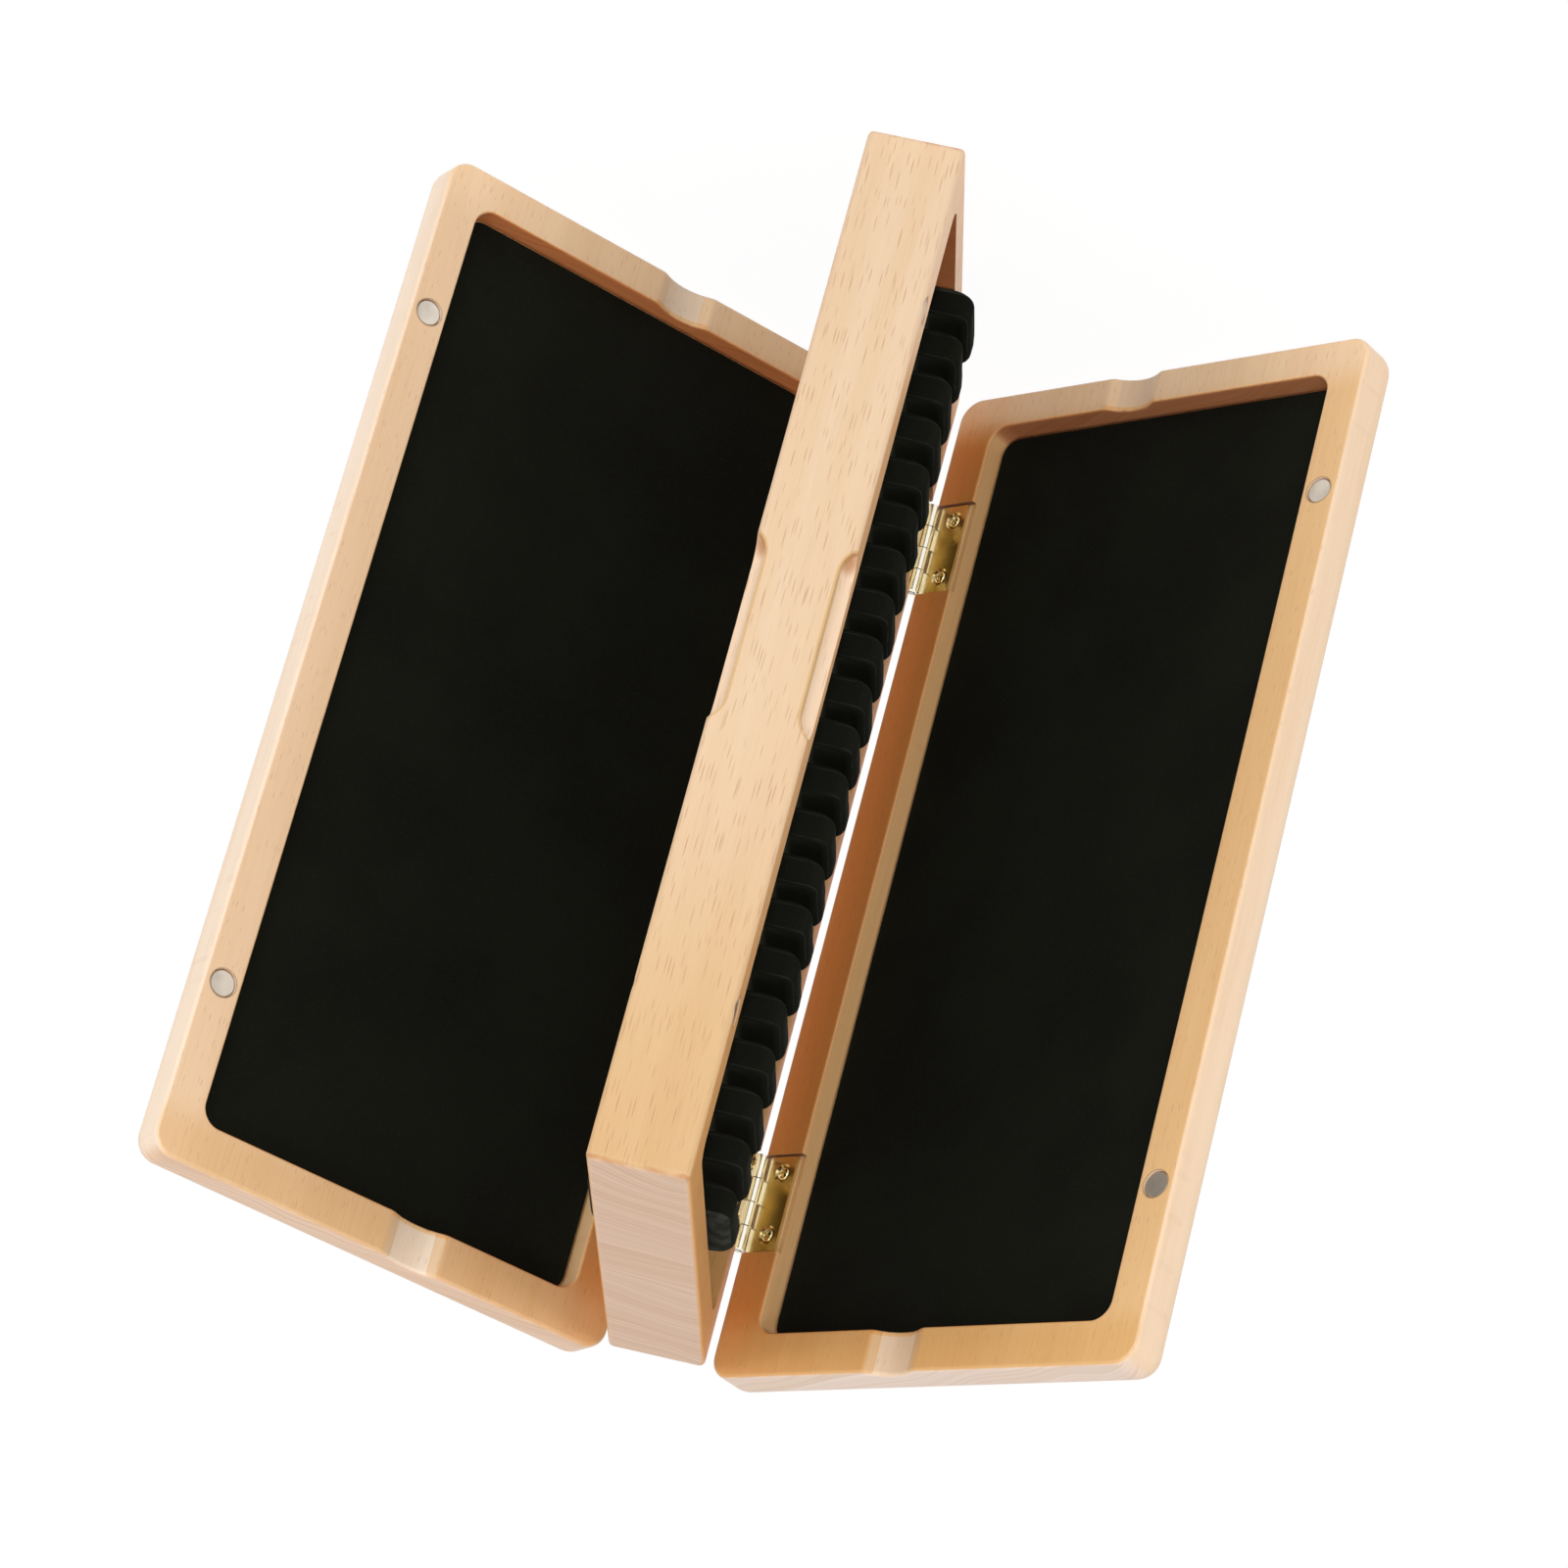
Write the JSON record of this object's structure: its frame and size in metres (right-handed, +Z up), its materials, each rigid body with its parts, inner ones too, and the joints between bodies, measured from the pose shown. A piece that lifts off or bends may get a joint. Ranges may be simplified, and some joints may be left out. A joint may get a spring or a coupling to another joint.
{
  "type": "reed case",
  "caption": "Wooden case like a book: a middle frame with a ribbed velvet bar on each side, and a velvet-lined lid hinged on either side.",
  "frame": {"origin": "centre of the middle frame's lower end, on the surface that the open case stands on", "axes": "+Z up along the case's length and along both lids' hinge pins, +Y from the open front edge to the hinged back edge, +X across the middle frame towards the right lid"},
  "size_m": [0.1933, 0.1082, 0.2164],
  "materials": {
    "beech": "pale steamed beech, satin lacquer",
    "velvet": "black cotton velvet",
    "brass": "bright rolled sheet",
    "steel": "drawn wire",
    "magnet": "dull nickel plate"
  },
  "bodies": {
    "frame": {"middle_frame": "beech", "left_pocket_lining": "velvet", "left_reed_bar": "velvet", "left_frame_leaf_lower": "brass", "left_hinge_pin_lower": "steel", "left_frame_screws_lower": "brass", "left_frame_magnet_lower": "magnet", "left_frame_leaf_upper": "brass", "left_hinge_pin_upper": "steel", "left_frame_screws_upper": "brass", "left_frame_magnet_upper": "magnet", "right_pocket_lining": "velvet", "right_reed_bar": "velvet", "right_frame_leaf_lower": "brass", "right_hinge_pin_lower": "steel", "right_frame_screws_lower": "brass", "right_frame_magnet_lower": "magnet", "right_frame_leaf_upper": "brass", "right_hinge_pin_upper": "steel", "right_frame_screws_upper": "brass", "right_frame_magnet_upper": "magnet"},
    "left_lid": {"left_lid": "beech", "left_lid_lining": "velvet", "left_lid_leaf_lower": "brass", "left_lid_screws_lower": "brass", "left_lid_magnet_lower": "magnet", "left_lid_leaf_upper": "brass", "left_lid_screws_upper": "brass", "left_lid_magnet_upper": "magnet"},
    "right_lid": {"right_lid": "beech", "right_lid_lining": "velvet", "right_lid_leaf_lower": "brass", "right_lid_screws_lower": "brass", "right_lid_magnet_lower": "magnet", "right_lid_leaf_upper": "brass", "right_lid_screws_upper": "brass", "right_lid_magnet_upper": "magnet"}
  },
  "joints": [
    {"name": "left_lid_hinge", "type": "hinge", "parent": "frame", "child": "left_lid", "pos_m": [-0.0098, 0.05125, 0.1075], "axis": [0, 0, -1], "range_deg": [-52.25, 87.75]},
    {"name": "right_lid_hinge", "type": "hinge", "parent": "frame", "child": "right_lid", "pos_m": [0.0098, 0.05125, 0.1075], "axis": [0, 0, 1], "range_deg": [-54.8, 85.2]}
  ]
}
